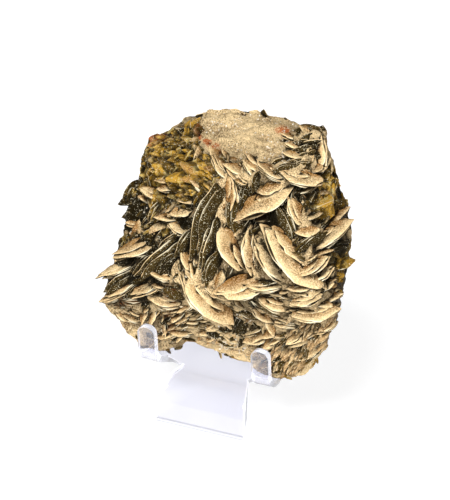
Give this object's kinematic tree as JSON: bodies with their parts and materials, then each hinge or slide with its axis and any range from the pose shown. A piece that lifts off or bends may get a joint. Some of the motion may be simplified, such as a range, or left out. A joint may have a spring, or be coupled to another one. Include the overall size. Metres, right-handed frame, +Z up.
{
  "type": "siderite with quartz specimen on an acrylic easel",
  "caption": "Rosette of lens-shaped siderite blades on a broken quartz-bearing matrix, resting in a clear acrylic easel with two front hooks, a curved front foot and a rear leg.",
  "frame": {"origin": "under the middle of the whole object's box, on the surface that the easel stands on", "axes": "+Z up, the easel's hooks and foot face -Y, its rear leg is towards +Y, +X is to the right of someone facing it"},
  "size_m": [0.0874, 0.0604, 0.1046],
  "materials": {
    "siderite": null,
    "acrylic": "clear polished acrylic sheet, faintly lilac at its edges, finely scratched"
  },
  "bodies": {
    "root": {"siderite_specimen": "siderite", "acrylic_stand": "acrylic"}
  },
  "joints": []
}
